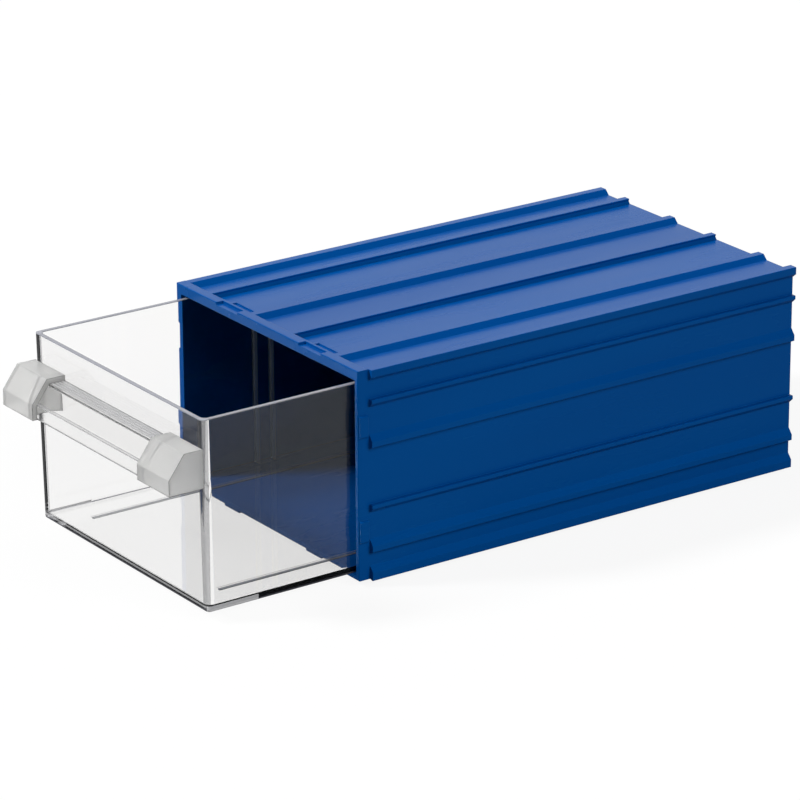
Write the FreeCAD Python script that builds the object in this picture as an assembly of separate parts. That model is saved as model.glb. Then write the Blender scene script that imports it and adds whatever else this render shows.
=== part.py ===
"""Stackable drawer box: a ribbed cabinet, a clear sliding drawer and its finger handle.

Seen from the front, +X is to the right, +Y to the back and +Z up, in millimetres.
The origin is the middle of the cabinet's footprint, on the surface that its base rails stand on.
The drawer is drawn part of the way out, as it stands at rest.
"""
import FreeCAD, Part
import math
import os

from FreeCAD import Vector

# Cabinet body
cabinet_width = 150.0
cabinet_height = 101.0
cabinet_depth = 250.0
wall = 2.2
left_wall = 1.5
flange_depth = 5.0
flange_edge_round = 0.5
rail_proud = 2.4
stack_clearance = 0.1
rail_edge_round = 0.35

# Channels in the roof, each between a narrow rib on its left and a wide rib on its right
channel_width = 31.7
channel_pitch = 68.5
channel_pair_shift = -1.45
narrow_land = 3.8
wide_land = 4.4
corner_land = 4.2
right_corner_land = 4.5
undercut = 0.6
undercut_lip = 1.2
undercut_toe = 0.9

# Rails on the right wall, which repeat twice up its height
side_rail_setback = 1.0
shelf_top = 36.3
shelf_face = 1.8
shelf_bevel = 2.2
ridge_top = 19.4
ridge_slope = 3.0
ridge_face = 2.8
ridge_step = 1.2
crown_face = 3.5
crown_bevel = 2.0
foot_top = 6.5
foot_slope = 2.9
foot_drop = 0.5

# Ribs on the left wall, which leave room for a neighbour's right rails
side_fit_gap = 0.3

# Rails under the floor, two for each channel of the box below
base_rail_start = 12.0
base_rail_face = 3.2
base_hook = 0.5
base_hook_height = 1.7
base_fit_gap = 0.25

# Locating lugs, notches, pockets and slots around the flange
side_lug_height = 10.9
side_lug_middle = 23.75
side_lug_proud = 1.2
side_notch_depth = 1.4
side_notch_gap = 0.25
side_notch_rise = 2.4
base_lug_width = 12.5
base_lug_proud = 1.1
pocket_width = 17.7
pocket_depth = 1.2
pocket_length = 3.8
pocket_shift = 3.9
slot_gap = 3.4
slot_length = 2.8
slot_depth = 0.8

# Drawer
drawer_front_width = 142.6
drawer_length = 246.8
drawer_height = 91.75
drawer_wall = 2.1
drawer_floor = 2.8
drawer_corner = 2.4
drawer_inner_corner = 2.6
bottom_round_share = 0.5
drawer_inner_round = 0.8
drawer_lean_degrees = 1.0
drawer_side_draft_degrees = 0.325
drawer_plan_taper_degrees = 0.3
drawer_open = 80.5
runner_height = 0.5
runner_width = 1.5
runner_spacing = 105.2
runner_start = 18.5
runner_end_gap = 12.0
running_gap = 0.1
guide_width = 1.75
guide_gap = 7.5
guide_proud = 0.8
guide_drop = 2.0

# Handle on the drawer's front
handle_drop = 13.4
handle_margin = 0.1
handle_end_width = 26.3
handle_top_depth = 9.6
handle_reach = 17.7
handle_chamfer_drop = 10.95
handle_height = 18.45
handle_shell = 1.4
handle_round = 0.7
handle_tuck = 1.9
dish_radius = 12.0
dish_depth = 4.0
bar_drop = 2.6
bar_top_depth = 8.6
bar_recess = 2.5
bar_knee_drop = 11.4
bar_thickness = 1.4
rib_count = 4
rib_width = 0.9
rib_height = 0.4

# One overrun for every cut that has to pass a face
overrun = 1.0

half_width = cabinet_width / 2
front_plane = -cabinet_depth / 2
rear_plane = cabinet_depth / 2
flange_rear = front_plane + flange_depth
channel_depth = rail_proud + stack_clearance
foot_face = foot_top - foot_slope + foot_drop
base_rail_height = channel_depth + foot_drop + stack_clearance
frame_base = base_rail_height
frame_top = frame_base + cabinet_height
roof_face = frame_top - channel_depth
left_wall_face = -half_width + channel_depth
cavity_left = left_wall_face + left_wall
cavity_right = half_width - wall
cavity_floor = frame_base + wall
cavity_roof = roof_face - wall
cavity_middle = (cavity_left + cavity_right) / 2
side_pitch = cabinet_height / 2
channel_middles = [channel_pair_shift + side * channel_pitch / 2 for side in (-1, 1)]

drawer_front_plane = front_plane - drawer_open
tray_base = cavity_floor + running_gap + runner_height
tray_top = tray_base + drawer_height

# Drop of the top below the handle's top, depth of the top, drop of the knee, reach
block_profile = (0, handle_top_depth, handle_chamfer_drop, handle_reach)
bar_profile = (bar_drop, bar_top_depth, bar_knee_drop, handle_reach - bar_recess)


def tan_degrees(angle):
    """Tangent of an angle in degrees."""
    return math.tan(math.radians(angle))


def block(x_span, y_span, z_span):
    """Box between two limits on each axis."""
    size = [span[1] - span[0] for span in (x_span, y_span, z_span)]
    return Part.makeBox(size[0], size[1], size[2], Vector(x_span[0], y_span[0], z_span[0]))


def rounded_wire(corners):
    """Closed wire through (point, radius) corners, with an arc where the radius isn't zero."""
    count = len(corners)
    entries, exits, middles = [], [], []
    for index, (point, radius) in enumerate(corners):
        towards_last = (corners[index - 1][0] - point).normalize()
        towards_next = (corners[(index + 1) % count][0] - point).normalize()
        half_angle = towards_last.getAngle(towards_next) / 2
        run = radius / math.tan(half_angle)
        entries.append(point + towards_last * run)
        exits.append(point + towards_next * run)
        bisector = (towards_last + towards_next).normalize()
        middles.append(point + bisector * (radius / math.sin(half_angle) - radius))
    edges = []
    for index, (point, radius) in enumerate(corners):
        if radius > 0:
            edges.append(Part.Arc(entries[index], middles[index], exits[index]).toShape())
        edges.append(Part.LineSegment(exits[index], entries[(index + 1) % count]).toShape())
    return Part.Wire(edges)


def bar_along_y(corners, start, end):
    """Solid with one (x, z, radius) section from y = start to y = end."""
    placed = [(Vector(x, start, z), radius) for x, z, radius in corners]
    return Part.Face(rounded_wire(placed)).extrude(Vector(0, end - start, 0))


def bar_along_x(corners, start, end):
    """Solid with one (y, z, radius) section from x = start to x = end."""
    placed = [(Vector(start, y, z), radius) for y, z, radius in corners]
    return Part.Face(rounded_wire(placed)).extrude(Vector(end - start, 0, 0))


def roof_rib(channel_edge, away, land):
    """Rib beside a roof channel: undercut on the channel's side, sloped on the other."""
    flank_foot = channel_edge + away * (land + channel_depth)
    lip = frame_top - undercut_lip
    return [
        (channel_edge, frame_top, rail_edge_round),
        (channel_edge + away * undercut, lip, 0),
        (channel_edge + away * (undercut - undercut_toe), roof_face, 0),
        (flank_foot, roof_face, 0),
        (channel_edge + away * land, frame_top, rail_edge_round),
    ]


def roof_ribs():
    """The four ribs along the channels and the left corner rib."""
    ribs = []
    for middle in channel_middles:
        ribs.append(roof_rib(middle - channel_width / 2, -1, narrow_land))
        ribs.append(roof_rib(middle + channel_width / 2, 1, wide_land))
    corner = -half_width + corner_land
    ribs.append([
        (-half_width, roof_face, 0),
        (-half_width, frame_top, rail_edge_round),
        (corner, frame_top, rail_edge_round),
        (corner + channel_depth, roof_face, 0),
    ])
    return [bar_along_y(rib, flange_rear, rear_plane) for rib in ribs]


def crown_land():
    """Rib above the right wall, which the crown rail continues outwards."""
    inner = half_width + rail_proud - right_corner_land
    section = [
        (inner, roof_face, 0),
        (inner, frame_top, rail_edge_round),
        (half_width, frame_top, 0),
        (half_width, roof_face, 0),
    ]
    return bar_along_y(section, flange_rear, rear_plane)


def crown_rail():
    """Rail along the top right corner, which stands out of the right wall."""
    outer = half_width + rail_proud
    face_foot = frame_top - crown_face
    return [
        (half_width, frame_top, 0),
        (outer, frame_top, rail_edge_round),
        (outer, face_foot, rail_edge_round),
        (half_width, face_foot - crown_bevel, 0),
    ]


def shelf_rail(top):
    """Right rail with a flat top and a bevel below."""
    outer = half_width + rail_proud
    return [
        (half_width, top, 0),
        (outer, top, rail_edge_round),
        (outer, top - shelf_face, rail_edge_round),
        (half_width, top - shelf_face - shelf_bevel, 0),
    ]


def ridge_rail(top, slope, face, step):
    """Right rail with a long slope above its face and a short step below."""
    outer = half_width + rail_proud
    return [
        (half_width, top, 0),
        (outer, top - slope, rail_edge_round),
        (outer, top - slope - face, rail_edge_round),
        (half_width, top - slope - face - step, 0),
    ]


def side_rails():
    """All rails on the right wall."""
    rails = [crown_rail()]
    for level in (0, side_pitch):
        rails.append(shelf_rail(frame_base + shelf_top + level))
        rails.append(ridge_rail(frame_base + ridge_top + level, ridge_slope, ridge_face, ridge_step))
    foot_step = foot_top - foot_slope - foot_face
    rails.append(ridge_rail(frame_base + foot_top, foot_slope, foot_face, foot_step))
    return [bar_along_y(rail, flange_rear + side_rail_setback, rear_plane) for rail in rails]


def left_rib(channel_edge, away, land):
    """Rib on the left wall beside the band where a neighbour's rails pass."""
    flank_foot = channel_edge + away * (land + channel_depth)
    return [
        (left_wall_face, channel_edge, 0),
        (-half_width, channel_edge, rail_edge_round),
        (-half_width, channel_edge + away * land, rail_edge_round),
        (left_wall_face, flank_foot, 0),
    ]


def left_ribs():
    """Two pairs of ribs on the left wall, above and below a neighbour's rail pairs."""
    ribs = []
    band_bottom = ridge_top - ridge_slope - ridge_face - ridge_step - side_fit_gap
    for level in (0, side_pitch):
        ribs.append(left_rib(frame_base + shelf_top + side_fit_gap + level, 1, wide_land))
        ribs.append(left_rib(frame_base + band_bottom + level, -1, narrow_land))
    return [bar_along_y(rib, flange_rear, rear_plane) for rib in ribs]


def base_rail(channel_edge, inward):
    """Rail under the floor that hooks below the lip of the channel it runs in."""
    root = channel_edge + inward * base_fit_gap
    hook_level = frame_base - base_hook_height
    hook = root - inward * base_hook
    toe = hook + inward * undercut_toe
    return [
        (root, frame_base, 0),
        (hook, hook_level, 0),
        (toe, 0, 0),
        (toe + inward * base_rail_face, 0, rail_edge_round),
        (toe + inward * (base_rail_face + base_rail_height), frame_base, 0),
    ]


def base_rails():
    """Two rails for each channel, back from the flange so that they clear the box below."""
    rails = []
    for middle in channel_middles:
        for side in (-1, 1):
            section = base_rail(middle + side * channel_width / 2, -side)
            rails.append(bar_along_y(section, front_plane + base_rail_start, rear_plane))
    return rails


def flange():
    """Front frame around the opening, with softened front edges."""
    frame = block((-half_width, half_width), (front_plane, flange_rear), (frame_base, frame_top))
    front_edges = [edge for edge in frame.Edges if edge.BoundBox.YMax < flange_rear - flange_edge_round]
    return frame.makeFillet(flange_edge_round, front_edges)


def side_lugs():
    """Two lugs on the right edge of the flange."""
    lugs = []
    outer = half_width + side_lug_proud
    for level in (0, side_pitch):
        low = frame_base + side_lug_middle - side_lug_height / 2 + level
        high = low + side_lug_height
        section = [
            (half_width, low, 0),
            (outer, low + side_lug_proud / 2, rail_edge_round),
            (outer, high - side_lug_proud / 2, rail_edge_round),
            (half_width, high, 0),
        ]
        lugs.append(bar_along_y(section, front_plane + flange_edge_round, flange_rear))
    return lugs


def side_notches():
    """Two notches in the left edge of the flange, which a neighbour's lugs enter."""
    cuts = []
    for level in (0, side_pitch):
        low = frame_base + side_lug_middle - side_lug_height / 2 - side_notch_gap + level
        high = low + side_lug_height + side_notch_gap + side_notch_rise
        inner = -half_width + side_notch_depth
        section = [
            (-half_width - overrun, low, 0),
            (-half_width, low, 0),
            (inner, low + side_notch_depth / 2, 0),
            (inner, high - side_notch_depth / 2, 0),
            (-half_width, high, 0),
            (-half_width - overrun, high, 0),
        ]
        cuts.append(bar_along_y(section, front_plane - overrun, flange_rear + overrun))
    return cuts


def base_lugs():
    """Two lugs under the flange, which enter the pockets of the box below."""
    lugs = []
    for middle in channel_middles:
        centre = middle + pocket_shift
        x_span = (centre - base_lug_width / 2, centre + base_lug_width / 2)
        y_span = (front_plane + flange_edge_round, flange_rear)
        lugs.append(block(x_span, y_span, (frame_base - base_lug_proud, frame_base + flange_edge_round)))
    return lugs


def roof_cuts():
    """Pockets in the top of the flange and a slot behind each."""
    cuts = []
    for middle in channel_middles:
        centre = middle + pocket_shift
        x_span = (centre - pocket_width / 2, centre + pocket_width / 2)
        pocket_span = (front_plane - overrun, front_plane + pocket_length)
        cuts.append(block(x_span, pocket_span, (frame_top - pocket_depth, frame_top + overrun)))
        slot_start = flange_rear + slot_gap
        slot_span = (slot_start, slot_start + slot_length)
        cuts.append(block(x_span, slot_span, (roof_face - slot_depth, roof_face + overrun)))
    return cuts


def cabinet_shell():
    """Cabinet in one moulding, open at the front and closed at the back."""
    body = block((left_wall_face, half_width), (flange_rear, rear_plane), (frame_base, roof_face))
    rails = [crown_land()] + roof_ribs() + side_rails() + left_ribs() + base_rails()
    shell = body.multiFuse([flange()] + rails + side_lugs() + base_lugs())
    cavity_span = (front_plane - overrun, rear_plane - wall)
    cavity = block((cavity_left, cavity_right), cavity_span, (cavity_floor, cavity_roof))
    return shell.cut([cavity] + side_notches() + roof_cuts()).removeSplitter()


def front_y(level):
    """Y of the drawer's outer front face at a height, which leans back towards its foot."""
    return drawer_front_plane + (tray_top - level) * tan_degrees(drawer_lean_degrees)


def back_y(level):
    """Y of the drawer's outer back face at a height."""
    rise = (tray_top - level) * tan_degrees(drawer_lean_degrees)
    return drawer_front_plane + drawer_length - rise


def half_width_at(y, level):
    """Half the drawer's outer width at a depth and a height."""
    draft = (tray_top - level) * tan_degrees(drawer_side_draft_degrees)
    taper = (y - drawer_front_plane) * tan_degrees(drawer_plan_taper_degrees)
    return drawer_front_width / 2 - draft - taper


def tray_outline(level, inset, corner_radius):
    """Plan outline of the drawer at a height, drawn in from its outer faces."""
    near = front_y(level)
    far = back_y(level)
    near_half = half_width_at(near, level) - inset
    far_half = half_width_at(far, level) - inset
    points = [
        (cavity_middle - near_half, near + inset),
        (cavity_middle + near_half, near + inset),
        (cavity_middle + far_half, far - inset),
        (cavity_middle - far_half, far - inset),
    ]
    return rounded_wire([(Vector(x, y, level), corner_radius) for x, y in points])


def tray_block(bottom, top, inset, corner_radius, bottom_round):
    """Solid between two outlines of the drawer, with its bottom edge rounded."""
    lower = tray_outline(bottom, inset, corner_radius)
    upper = tray_outline(top, inset, corner_radius)
    solid = Part.makeLoft([lower, upper], True, True)
    floor_edges = [edge for edge in solid.Edges if edge.BoundBox.ZMax < bottom + bottom_round / 2]
    return solid.makeFillet(bottom_round, floor_edges)


def runners():
    """Two runners under the drawer's floor."""
    strips = []
    for side in (-1, 1):
        middle = cavity_middle + side * runner_spacing / 2
        x_span = (middle - runner_width / 2, middle + runner_width / 2)
        y_span = (drawer_front_plane + runner_start, back_y(tray_base) - runner_end_gap)
        strips.append(block(x_span, y_span, (tray_base - runner_height, tray_base + drawer_floor / 2)))
    return strips


def divider_guides():
    """A pair of upright ribs on each side wall, where a divider would stand."""
    ribs = []
    middle = drawer_front_plane + drawer_length / 2
    top = tray_top - guide_drop
    for wall_side in (-1, 1):
        for pair_side in (-1, 1):
            near = middle + pair_side * (guide_gap + guide_width) / 2 - guide_width / 2
            inner_face = half_width_at(middle, tray_base) - drawer_wall
            reach = sorted([
                cavity_middle + wall_side * (inner_face - guide_proud),
                cavity_middle + wall_side * (inner_face + drawer_wall / 2),
            ])
            z_span = (tray_base + drawer_floor / 2, top)
            ribs.append(block(reach, (near, near + guide_width), z_span))
    return ribs


def drawer_tray():
    """Clear drawer in one moulding, with its runners and divider guides."""
    bottom_round = drawer_corner * bottom_round_share
    outer = tray_block(tray_base, tray_top, 0, drawer_corner, bottom_round)
    floor_level = tray_base + drawer_floor
    inner = tray_block(floor_level, tray_top + overrun, drawer_wall, drawer_inner_corner, drawer_inner_round)
    tray = outer.cut(inner)
    return tray.multiFuse(runners() + divider_guides()).removeSplitter()


def handle_section(profile, inset, foot, edge_round):
    """Side section of a part of the handle as (y, z, radius), drawn in from its outer faces."""
    drop, top_depth, knee_drop, reach = profile
    handle_top = tray_top - handle_drop
    top = handle_top - drop - inset
    slope = math.atan2(knee_drop - drop, reach - top_depth)
    top_shift = inset * math.tan(slope / 2)
    knee_shift = inset * math.tan((math.pi / 2 - slope) / 2)
    wall_y = front_y(handle_top)
    front = wall_y - reach + inset
    return [
        (front_y(top), top, 0),
        (wall_y - top_depth + top_shift, top, edge_round),
        (front, handle_top - knee_drop - knee_shift, edge_round),
        (front, foot, 0),
        (front_y(foot), foot, 0),
    ]


def handle_limits(side):
    """Outer and inner x of the handle's end block on one side."""
    outer = cavity_middle + side * (half_width_at(drawer_front_plane, tray_top) - handle_margin)
    return outer, outer - side * handle_end_width


def handle_end(side):
    """Frosted end block: closed outside, dished towards the middle, hollow from below."""
    outer, inner = handle_limits(side)
    top = tray_top - handle_drop
    foot = top - handle_height
    ends = sorted([outer, inner])
    shell = bar_along_x(handle_section(block_profile, 0, foot, handle_round), ends[0], ends[1])
    room = handle_section(block_profile, handle_shell, foot - overrun, 0)
    mouth_room = handle_section(bar_profile, 0, foot - overrun, 0)
    depth_middle = front_y(top) - (handle_reach - handle_shell) / 2
    mouth_end = inner + side * handle_tuck
    dish_centre = mouth_end - side * (dish_radius - dish_depth)
    dish_height = handle_height + overrun + overrun
    base = Vector(dish_centre, depth_middle, foot - overrun)
    dish = Part.makeCylinder(dish_radius, dish_height, base)
    wall_around = Part.makeCylinder(dish_radius + handle_shell, dish_height, base)
    mouth = sorted([inner - side * overrun, mouth_end])
    mouth_cut = bar_along_x(mouth_room, mouth[0], mouth[1])
    sides = sorted([mouth_end, outer - side * handle_shell])
    inside = bar_along_x(room, sides[0], sides[1])
    dished = dish.common(inside)
    core = inside.cut(wall_around)
    return shell.cut([mouth_cut, dished, core]).removeSplitter()


def handle_bar():
    """Clear bar between the end blocks, tucked under their rims, with grip ribs on its top."""
    inner = handle_limits(1)[1] - cavity_middle
    reach = (cavity_middle - inner - handle_tuck, cavity_middle + inner + handle_tuck)
    foot = tray_top - handle_drop - handle_height
    outside = bar_along_x(handle_section(bar_profile, 0, foot, handle_round), reach[0], reach[1])
    hollow_section = handle_section(bar_profile, bar_thickness, foot - overrun, 0)
    hollow = bar_along_x(hollow_section, reach[0] - overrun, reach[1] + overrun)
    bar = outside.cut(hollow)
    strip_top = tray_top - handle_drop - bar_drop
    strip_back = front_y(strip_top)
    pitch = bar_top_depth / (rib_count + 1)
    ribs = []
    for index in range(rib_count):
        near = strip_back - pitch * (index + 1) - rib_width / 2
        x_span = (cavity_middle - inner, cavity_middle + inner)
        z_span = (strip_top - bar_thickness / 2, strip_top + rib_height)
        ribs.append(block(x_span, (near, near + rib_width), z_span))
    return bar.multiFuse(ribs).removeSplitter()


def build():
    """Every node of the drawer box by name."""
    return {
        "cabinet_shell": cabinet_shell(),
        "drawer_tray": drawer_tray(),
        "handle_bar": handle_bar(),
        "handle_end_left": handle_end(-1),
        "handle_end_right": handle_end(1),
    }


os.makedirs("parts", exist_ok=True)
for node, shape in build().items():
    shape.exportStep("parts/" + node + ".step")
    print(node, len(shape.Solids), "solid,", round(shape.Volume), "mm3, valid:", shape.isValid())
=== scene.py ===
"""Looks of the stackable drawer box: materials, floor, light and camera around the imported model."""
import math

import bpy
from mathutils import Matrix, Vector

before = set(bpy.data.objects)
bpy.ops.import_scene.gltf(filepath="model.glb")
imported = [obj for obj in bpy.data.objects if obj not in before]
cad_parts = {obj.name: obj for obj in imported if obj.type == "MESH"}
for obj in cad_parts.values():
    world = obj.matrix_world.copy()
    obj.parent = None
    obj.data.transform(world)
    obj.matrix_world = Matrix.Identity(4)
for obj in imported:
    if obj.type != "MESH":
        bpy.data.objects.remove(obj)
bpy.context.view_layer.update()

# Camera, fitted to the straight edges of the box in the photograph
CAMERA_AZIMUTH = math.radians(55.101)
CAMERA_ELEVATION = math.radians(20.465)
CAMERA_ROLL = math.radians(0.263)
CAMERA_PLACE = Vector((1.67141, -1.21567, 0.81218))
CAMERA_LENS = 208.64
SENSOR = 36.0

# Light on the object, as the brightness that each gives a white surface that faces it
KEY = {"towards": (-0.36, -0.66, 0.66), "brightness": 1.02, "angle": 10.0}
FILL = {"towards": (0.80, 0.20, 0.60), "brightness": 0.43, "angle": 30.0}
BACK = {"towards": (-0.70, 0.60, 0.40), "brightness": 0.10, "angle": 30.0}
AMBIENT = 0.10

# Studio that gloss and clear plastic see: a bright backdrop, and a dim side where the camera is
BACKDROP_SIDE = (-0.82, 0.572, 0.0)
BACKDROP = 0.88
DIM_TO_GLOSS = 0.06
DIM_THROUGH_CLEAR = 0.50

# Floor: what the camera sees is white with a faint shadow, what gloss and bounced light see is grey
FLOOR_HALF = 6.0
FLOOR_SHADOWED_SHARE = 0.10
FLOOR_GREY = 0.32
FLOOR_GLOSS = 0.30

# Blue of the cabinet, between two close tones, and paler along its rubbed edges, where the paler colour is
# also a painted highlight
BLUE_DEEP = (0.000, 0.075, 0.332, 1.0)
BLUE_PALE = (0.000, 0.089, 0.370, 1.0)
BLUE_WORN_AND_HIGHLIT = (0.030, 0.170, 0.480, 1.0)
BLUE_IOR = 1.25
BLUE_SPECULAR = (0.15, 1.0, 0.85, 1.0)

# Clear plastic: its body, and the grey painted along its edges as shade
CLEAR_IOR = 1.42
CLEAR_SPECULAR = (0.80, 0.88, 1.0, 1.0)
CLEAR_DENSITY = 2.0
CLEAR = (0.997, 0.997, 0.997, 1.0)
EDGE_GREY = (0.19, 0.21, 0.25, 1.0)

# Bands of the drawer, painted light on the clear plastic: shade on the corners, bottom edges, runners,
# runner lines and rim, highlights on the foot, lit edge and guides. The colour of each, and the share of it
# that light doesn't pass
CORNER_BAND = ((0.35, 0.35, 0.36, 1.0), 0.14)
BOTTOM_BAND = ((0.10, 0.10, 0.13, 1.0), 0.60)
FOOT_BAND = ((0.70, 0.70, 0.71, 1.0), 0.45)
LIT_BAND = ((0.75, 0.75, 0.77, 1.0), 0.80)
LINE_BAND = ((0.25, 0.25, 0.26, 1.0), 0.80)
RUNNER_BAND = ((0.20, 0.21, 0.23, 1.0), 0.60)
GUIDE_BAND = ((0.80, 0.95, 1.0, 1.0), 0.32)
RIM_BAND = ((0.46, 0.47, 0.53, 1.0), 0.70)

# Handle: the bar's edges, grip and bend, and the frosted ends; the greys along the edges and the bend are
# painted shade
BAR_EDGE_GREY = (0.54, 0.54, 0.55, 1.0)
GRIP_BAND = ((0.74, 0.74, 0.75, 1.0), 0.25)
KNEE_BAND = ((0.50, 0.50, 0.51, 1.0), 0.60)
FROST = (0.93, 0.93, 0.92, 1.0)
FROST_EDGE_GREY = (0.20, 0.20, 0.20, 1.0)

# Patterns in the blue plastic, by how fine they are
BLUE_EDGE_RADIUS = 0.0004
WEAR_SCALE = 90.0
FLOW_SCALE = 14.0
FLOW_STRETCH = (1.0, 0.25, 1.0)
SATIN_SCALE = 60.0
SATIN_STRETCH = (1.0, 0.2, 1.0)
SATIN = (0.20, 0.30)
GRAIN_SCALE = 2200.0
GRAIN_STRENGTH = 0.15
GRAIN_DEPTH = 0.00003

# Places of the bands on the drawer and its handle, in metres. A pair is a middle and a half width
DRAWER_MIDDLE_X = 0.0009
INNER_HALF_WIDTH = 0.0660
GUIDE_PLACES = (-0.08672, -0.07748)
GUIDE_HALF = 0.0009
GUIDE_TOP = 0.0956
RIM_LOW = 0.0973
RUNNER_TOP = 0.0058
GRIP_LOW = 0.0818
BAR_KNEE = (0.07285, 0.0002)
BAR_FRONT = (-0.2215, 0.0030)
FRONT_CORNER = (-0.2055, 0.0032)
CORNER_HALF_WIDTH = 0.0672
BOTTOM_EDGE_TOP = 0.0072
BOTTOM_HALF_WIDTH = 0.0694
BOTTOM_SPAN = (-0.0821, 0.1215)
FRONT_FOOT = (-0.2055, 0.0022)
FRONT_FOOT_LOW = 0.0079
FLOOR_TOP = 0.0089
LIT_EDGE = (-0.1905, 0.0135)
RUNNER_LINES = (-0.05355, 0.05165)
RUNNER_LINE_HALF = 0.0002
RUNNER_SPAN = (-0.0797, 0.1073)
FLOOR_UNDERSIDE = 0.0060


def camera():
    """The photograph's view: its direction, its slight roll and its long lens."""
    flat = math.cos(CAMERA_ELEVATION)
    forward = Vector((
        -math.sin(CAMERA_AZIMUTH) * flat,
        math.cos(CAMERA_AZIMUTH) * flat,
        -math.sin(CAMERA_ELEVATION),
    ))
    right = forward.cross(Vector((0, 0, 1))).normalized()
    down = forward.cross(right)
    turn, tilt = math.cos(CAMERA_ROLL), math.sin(CAMERA_ROLL)
    image_right = right * turn + down * tilt
    image_down = down * turn - right * tilt
    data = bpy.data.cameras.new("photo_camera")
    data.lens = CAMERA_LENS
    data.sensor_width = SENSOR
    data.sensor_fit = "HORIZONTAL"
    data.clip_end = 20.0
    made = bpy.data.objects.new("photo_camera", data)
    axes = Matrix((image_right, -image_down, -forward)).transposed()
    made.matrix_world = Matrix.Translation(CAMERA_PLACE) @ axes.to_4x4()
    bpy.context.scene.collection.objects.link(made)
    bpy.context.scene.camera = made


def node(tree, kind, sockets=None, **settings):
    """Add a shader node, with its settings and the plain values of its sockets."""
    made = tree.nodes.new("ShaderNode" + kind)
    for name, value in settings.items():
        setattr(made, name, value)
    for name, value in (sockets or {}).items():
        made.inputs[name].default_value = value
    return made


def empty_material(name):
    """A node material that holds its output alone."""
    material = bpy.data.materials.new(name)
    material.use_nodes = True
    material.node_tree.nodes.clear()
    return material, material.node_tree, node(material.node_tree, "OutputMaterial")


def noise(tree, scale, detail=2.0, stretch=None):
    """Noise in the object's own metres, stretched along an axis where asked."""
    place = node(tree, "TexCoord").outputs["Object"]
    if stretch:
        mapping = node(tree, "Mapping", {"Scale": stretch})
        tree.links.new(place, mapping.inputs["Vector"])
        place = mapping.outputs["Vector"]
    made = node(tree, "TexNoise", {"Scale": scale, "Detail": detail})
    tree.links.new(place, made.inputs["Vector"])
    return made.outputs[0]


def spread(tree, source, low, high, start=0.3, end=0.7):
    """Turn a 0 to 1 pattern into values between low and high."""
    made = node(tree, "MapRange", {"From Min": start, "From Max": end, "To Min": low, "To Max": high})
    tree.links.new(source, made.inputs["Value"])
    return made.outputs[0]


def edges_of(tree, radius, full=0.80):
    """Normals that turn softly round the corners, and a mask that rises to one there."""
    rounded = node(tree, "Bevel", {"Radius": radius}, samples=6)
    shape = node(tree, "NewGeometry")
    dot = node(tree, "VectorMath", operation="DOT_PRODUCT")
    tree.links.new(rounded.outputs[0], dot.inputs[0])
    tree.links.new(shape.outputs["True Normal"], dot.inputs[1])
    return rounded.outputs[0], spread(tree, dot.outputs["Value"], 1.0, 0.0, start=full, end=0.985)


def multiply(tree, first, second):
    """Product of two patterns."""
    made = node(tree, "Math", operation="MULTIPLY")
    tree.links.new(first, made.inputs[0])
    tree.links.new(second, made.inputs[1])
    return made.outputs[0]


def add(tree, first, second):
    """Sum of two patterns, kept between nothing and one."""
    made = node(tree, "Math", operation="ADD", use_clamp=True)
    tree.links.new(first, made.inputs[0])
    tree.links.new(second, made.inputs[1])
    return made.outputs[0]


def mix_colour(tree, factor, first, second):
    """Mix of two colours by a pattern."""
    made = node(tree, "Mix", data_type="RGBA")
    colours = [socket for socket in made.inputs if socket.type == "RGBA"]
    for socket, colour in zip(colours, (first, second)):
        if isinstance(colour, tuple):
            socket.default_value = colour
        else:
            tree.links.new(colour, socket)
    tree.links.new(factor, made.inputs[0])
    return next(socket for socket in made.outputs if socket.type == "RGBA")


def bump(tree, shade, height, strength, distance, rounded):
    """Raise a pattern out of a surface whose corners are softly rounded."""
    made = node(tree, "Bump", {"Strength": strength, "Distance": distance})
    tree.links.new(height, made.inputs["Height"])
    tree.links.new(rounded, made.inputs["Normal"])
    tree.links.new(made.outputs[0], shade.inputs["Normal"])


def blue_plastic():
    """Opaque moulded plastic: fine grain, faint flow shades, satin gloss, and rubbed edges that are rougher
    and paler, the paler colour partly a painted highlight.
    """
    material, tree, out = empty_material("cabinet_blue")
    shade = node(tree, "BsdfPrincipled", {"IOR": BLUE_IOR, "Specular Tint": BLUE_SPECULAR})
    rounded, edges = edges_of(tree, BLUE_EDGE_RADIUS)
    # Patches along the edges: rubbed rougher, and paler in colour, partly as a painted highlight
    patchy_edges = multiply(tree, edges, spread(tree, noise(tree, WEAR_SCALE, 4.0), 0.0, 0.5))
    streaks = spread(tree, noise(tree, FLOW_SCALE, 3.0, FLOW_STRETCH), 0.0, 1.0)
    flow = mix_colour(tree, streaks, BLUE_DEEP, BLUE_PALE)
    # Base colour: the flow tones, then the paler edge colour, which is partly a painted highlight
    tree.links.new(mix_colour(tree, patchy_edges, flow, BLUE_WORN_AND_HIGHLIT), shade.inputs["Base Color"])
    satin = spread(tree, noise(tree, SATIN_SCALE, 4.0, SATIN_STRETCH), *SATIN)
    tree.links.new(add(tree, satin, multiply(tree, patchy_edges, satin)), shade.inputs["Roughness"])
    bump(tree, shade, noise(tree, GRAIN_SCALE, 2.0), GRAIN_STRENGTH, GRAIN_DEPTH, rounded)
    tree.links.new(shade.outputs[0], out.inputs["Surface"])
    return material


def slab(tree, axis, middle, half):
    """One where the object's coordinate is within half of the middle, nothing elsewhere."""
    split = node(tree, "SeparateXYZ")
    tree.links.new(node(tree, "TexCoord").outputs["Object"], split.inputs[0])
    made = node(tree, "Math", operation="COMPARE")
    made.inputs[1].default_value = middle
    made.inputs[2].default_value = half
    tree.links.new(split.outputs[axis], made.inputs[0])
    return made.outputs[0]


def opposite(tree, pattern):
    """One where a pattern is nothing, nothing where it is one."""
    return spread(tree, pattern, 1.0, 0.0, 0.0, 1.0)


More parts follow.
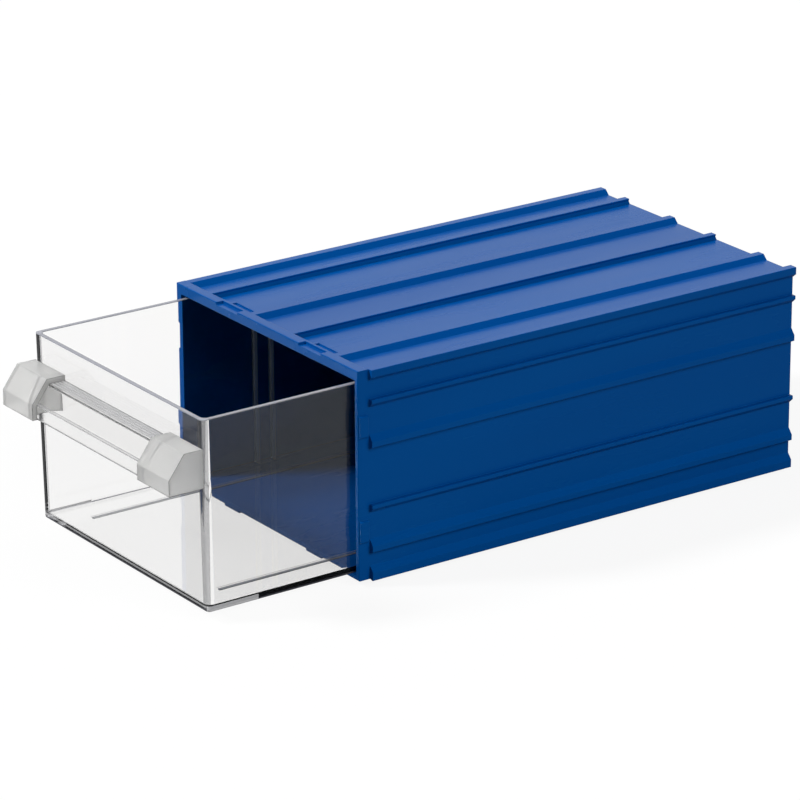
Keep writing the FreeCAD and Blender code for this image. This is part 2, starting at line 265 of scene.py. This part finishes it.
def scaled(tree, pattern, share):
    """A pattern brought down to a share of itself."""
    return spread(tree, pattern, 0.0, share, 0.0, 1.0)


def above(tree, height):
    """One above a height."""
    return opposite(tree, slab(tree, "Z", 0.0, height))


def below(tree, height):
    """One below a height."""
    return slab(tree, "Z", 0.0, height)


def front_corners(tree):
    """One on the two upright corners at the drawer's front, painted grey as shade."""
    front = slab(tree, "Y", *FRONT_CORNER)
    return multiply(tree, front, opposite(tree, slab(tree, "X", DRAWER_MIDDLE_X, CORNER_HALF_WIDTH)))


def bottom_edges(tree):
    """One on the rounded edges all round the drawer's floor, painted dark as shade."""
    across = slab(tree, "X", DRAWER_MIDDLE_X, BOTTOM_HALF_WIDTH)
    plate = multiply(tree, across, slab(tree, "Y", *BOTTOM_SPAN))
    return multiply(tree, opposite(tree, plate), below(tree, BOTTOM_EDGE_TOP))


def front_foot(tree):
    """One on the foot of the drawer's front wall, beside its floor, painted pale as a highlight."""
    beside_floor = multiply(tree, below(tree, FLOOR_TOP), above(tree, FRONT_FOOT_LOW))
    return multiply(tree, slab(tree, "Y", *FRONT_FOOT), beside_floor)


def lit_edge(tree):
    """One on the drawer's bottom edges beside its front corners, which catch the light."""
    sides = opposite(tree, slab(tree, "X", DRAWER_MIDDLE_X, BOTTOM_HALF_WIDTH))
    return multiply(tree, multiply(tree, sides, slab(tree, "Y", *LIT_EDGE)), below(tree, FLOOR_TOP))


def bar_knee(tree):
    """One along the bend in the handle bar's front, painted grey as a shade line."""
    return multiply(tree, slab(tree, "Z", *BAR_KNEE), slab(tree, "Y", *BAR_FRONT))


def runner_lines(tree):
    """One on a thin line beside each runner, on the underside of the drawer's floor, painted dark as a shade
    line.
    """
    lines = add(tree, *[slab(tree, "X", place, RUNNER_LINE_HALF) for place in RUNNER_LINES])
    return multiply(tree, multiply(tree, lines, slab(tree, "Y", *RUNNER_SPAN)), below(tree, FLOOR_UNDERSIDE))


def guides(tree):
    """One on the upright ribs of the drawer's two side walls, painted pale as a highlight."""
    pair = add(tree, *[slab(tree, "Y", place, GUIDE_HALF) for place in GUIDE_PLACES])
    walls = opposite(tree, slab(tree, "X", DRAWER_MIDDLE_X, INNER_HALF_WIDTH))
    return multiply(tree, multiply(tree, pair, walls), below(tree, GUIDE_TOP))


def see_through(name, tint, rough, grain, shadow, whole=0.0, edge_share=0.35, edge_grey=EDGE_GREY,
                edge_radius=0.0004, edge_full=0.80, bands=(), density=0.0):
    """Clear or frosted plastic, greyer along its edges and bands as painted shade and highlights, which lets
    soft light through.
    """
    material, tree, out = empty_material(name)
    shade = node(tree, "BsdfPrincipled", {"IOR": CLEAR_IOR, "Specular Tint": CLEAR_SPECULAR})
    rounded, edges = edges_of(tree, edge_radius, edge_full)
    body, solid = tint, scaled(tree, edges, edge_share)
    for mask, colour, share in bands:
        place = mask(tree)
        body = mix_colour(tree, place, body, colour)
        solid = add(tree, solid, scaled(tree, place, share))
    # Painted shade: grey along the edges
    body = mix_colour(tree, edges, body, edge_grey)
    tree.links.new(body, shade.inputs["Base Color"])
    tree.links.new(spread(tree, solid, 1.0 - whole, 0.0, 0.0, 1.0), shade.inputs["Transmission Weight"])
    handled = spread(tree, noise(tree, 35.0, 4.0), *rough)
    # Rubbed patches along the edges, which only make them rougher here
    patchy_edges = multiply(tree, edges, spread(tree, noise(tree, 120.0, 3.0), 0.0, 0.12))
    tree.links.new(add(tree, handled, patchy_edges), shade.inputs["Roughness"])
    bump(tree, shade, noise(tree, grain[0], 2.0), grain[1], 0.0001, rounded)
    passing = node(tree, "BsdfTransparent", {"Color": (shadow, shadow, shadow, 1.0)})
    path = node(tree, "LightPath")
    mix = node(tree, "MixShader")
    tree.links.new(path.outputs["Is Shadow Ray"], mix.inputs[0])
    tree.links.new(shade.outputs[0], mix.inputs[1])
    tree.links.new(passing.outputs[0], mix.inputs[2])
    tree.links.new(mix.outputs[0], out.inputs["Surface"])
    if density:
        inside = node(tree, "VolumeAbsorption", {"Color": (0.62, 0.64, 0.66, 1.0), "Density": density})
        tree.links.new(inside.outputs[0], out.inputs["Volume"])
    return material


def paint(name, material):
    """Give a CAD node its material."""
    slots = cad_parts[name].data.materials
    slots.clear()
    slots.append(material)


def seen_directly(tree, with_gloss):
    """One for rays from the camera and through clear plastic, and for reflections where asked."""
    path = node(tree, "LightPath")
    seen = add(tree, path.outputs["Is Camera Ray"], path.outputs["Is Transmission Ray"])
    if with_gloss:
        seen = add(tree, seen, path.outputs["Is Glossy Ray"])
    return multiply(tree, seen, opposite(tree, path.outputs["Diffuse Depth"]))


def studio():
    """World: white to the camera, a bright backdrop to gloss, and a low even light for the rest."""
    made = bpy.data.worlds.new("studio")
    bpy.context.scene.world = made
    made.use_nodes = True
    tree = made.node_tree
    tree.nodes.clear()
    out = node(tree, "OutputWorld")
    towards = node(tree, "VectorMath", operation="DOT_PRODUCT")
    tree.links.new(node(tree, "TexCoord").outputs["Generated"], towards.inputs[0])
    towards.inputs[1].default_value = BACKDROP_SIDE
    path = node(tree, "LightPath")
    dim = spread(tree, path.outputs["Is Transmission Ray"], DIM_TO_GLOSS, DIM_THROUGH_CLEAR, 0.0, 1.0)
    shape = node(tree, "MapRange", {"From Min": 0.3, "From Max": 0.8, "To Max": BACKDROP})
    tree.links.new(towards.outputs["Value"], shape.inputs["Value"])
    tree.links.new(dim, shape.inputs["To Min"])
    studio_light = node(tree, "Background")
    tree.links.new(shape.outputs[0], studio_light.inputs["Strength"])
    white = node(tree, "Background", {"Strength": 1.0})
    ambient = node(tree, "Background", {"Strength": AMBIENT})
    for background in (studio_light, white, ambient):
        background.inputs["Color"].default_value = (1.0, 1.0, 1.0, 1.0)
    reflected = node(tree, "MixShader")
    tree.links.new(seen_directly(tree, True), reflected.inputs[0])
    tree.links.new(ambient.outputs[0], reflected.inputs[1])
    tree.links.new(studio_light.outputs[0], reflected.inputs[2])
    viewed = node(tree, "MixShader")
    tree.links.new(path.outputs["Is Camera Ray"], viewed.inputs[0])
    tree.links.new(reflected.outputs[0], viewed.inputs[1])
    tree.links.new(white.outputs[0], viewed.inputs[2])
    tree.links.new(viewed.outputs[0], out.inputs["Surface"])


def lamp(name, light):
    """A soft, distant lamp."""
    data = bpy.data.lights.new(name, "SUN")
    data.energy = light["brightness"] * math.pi
    data.angle = math.radians(light["angle"])
    made = bpy.data.objects.new(name, data)
    made.rotation_euler = Vector(light["towards"]).to_track_quat("Z", "Y").to_euler()
    made.visible_glossy = False
    made.visible_transmission = False
    bpy.context.scene.collection.objects.link(made)


def floor():
    """Pale floor, white to the camera with a faint shadow, and grey to gloss and bounced light."""
    half = FLOOR_HALF
    mesh = bpy.data.meshes.new("floor")
    corners = [(-half, -half, 0), (half, -half, 0), (half, half, 0), (-half, half, 0)]
    mesh.from_pydata(corners, [], [(0, 1, 2, 3)])
    piece = bpy.data.objects.new("floor", mesh)
    bpy.context.scene.collection.objects.link(piece)
    material, tree, out = empty_material("floor_white")
    grey = node(tree, "BsdfDiffuse", {"Color": (FLOOR_GREY, FLOOR_GREY, FLOOR_GREY, 1.0)})
    sheen = node(tree, "BsdfDiffuse", {"Color": (FLOOR_GLOSS, FLOOR_GLOSS, FLOOR_GLOSS, 1.0)})
    unseen = node(tree, "MixShader")
    tree.links.new(node(tree, "LightPath").outputs["Is Glossy Ray"], unseen.inputs[0])
    tree.links.new(grey.outputs[0], unseen.inputs[1])
    tree.links.new(sheen.outputs[0], unseen.inputs[2])
    share = FLOOR_SHADOWED_SHARE
    shadowed = node(tree, "BsdfDiffuse", {"Color": (share, share, share, 1.0)})
    white = node(tree, "Emission", {"Strength": 1.0 - share})
    seen = node(tree, "AddShader")
    tree.links.new(shadowed.outputs[0], seen.inputs[0])
    tree.links.new(white.outputs[0], seen.inputs[1])
    mix = node(tree, "MixShader")
    tree.links.new(seen_directly(tree, False), mix.inputs[0])
    tree.links.new(unseen.outputs[0], mix.inputs[1])
    tree.links.new(seen.outputs[0], mix.inputs[2])
    tree.links.new(mix.outputs[0], out.inputs["Surface"])
    piece.data.materials.append(material)


paint("cabinet_shell", blue_plastic())
paint("drawer_tray", see_through(
    "drawer_clear", CLEAR, rough=(0.0, 0.03), grain=(18.0, 0.02), shadow=0.82, edge_share=0.4,
    density=CLEAR_DENSITY, bands=(
        (front_corners, *CORNER_BAND),
        (bottom_edges, *BOTTOM_BAND),
        (front_foot, *FOOT_BAND),
        (lit_edge, *LIT_BAND),
        (runner_lines, *LINE_BAND),
        # Painted shade: the runners under the floor turn dark grey
        (lambda tree: below(tree, RUNNER_TOP), *RUNNER_BAND),
        (guides, *GUIDE_BAND),
        # Painted shade: the rim along the top turns grey
        (lambda tree: above(tree, RIM_LOW), *RIM_BAND),
    )))
paint("handle_bar", see_through(
    "handle_clear", CLEAR, rough=(0.03, 0.10), grain=(60.0, 0.05), shadow=0.85, edge_share=0.85,
    edge_grey=BAR_EDGE_GREY, edge_radius=0.0008, edge_full=0.92,
    density=CLEAR_DENSITY,
    bands=(
        (lambda tree: above(tree, GRIP_LOW), *GRIP_BAND),
        (bar_knee, *KNEE_BAND),
    )))
frosted = see_through(
    "handle_frosted", FROST, rough=(0.30, 0.42), grain=(1500.0, 0.3), shadow=0.6, whole=0.36,
    edge_share=0.8, edge_grey=FROST_EDGE_GREY, edge_radius=0.0006,
    edge_full=0.90)
paint("handle_end_left", frosted)
paint("handle_end_right", frosted)

studio()
for lamp_name, settings in (("key", KEY), ("fill", FILL), ("back", BACK)):
    lamp(lamp_name, settings)
floor()
camera()
bpy.context.scene.view_settings.view_transform = "Standard"
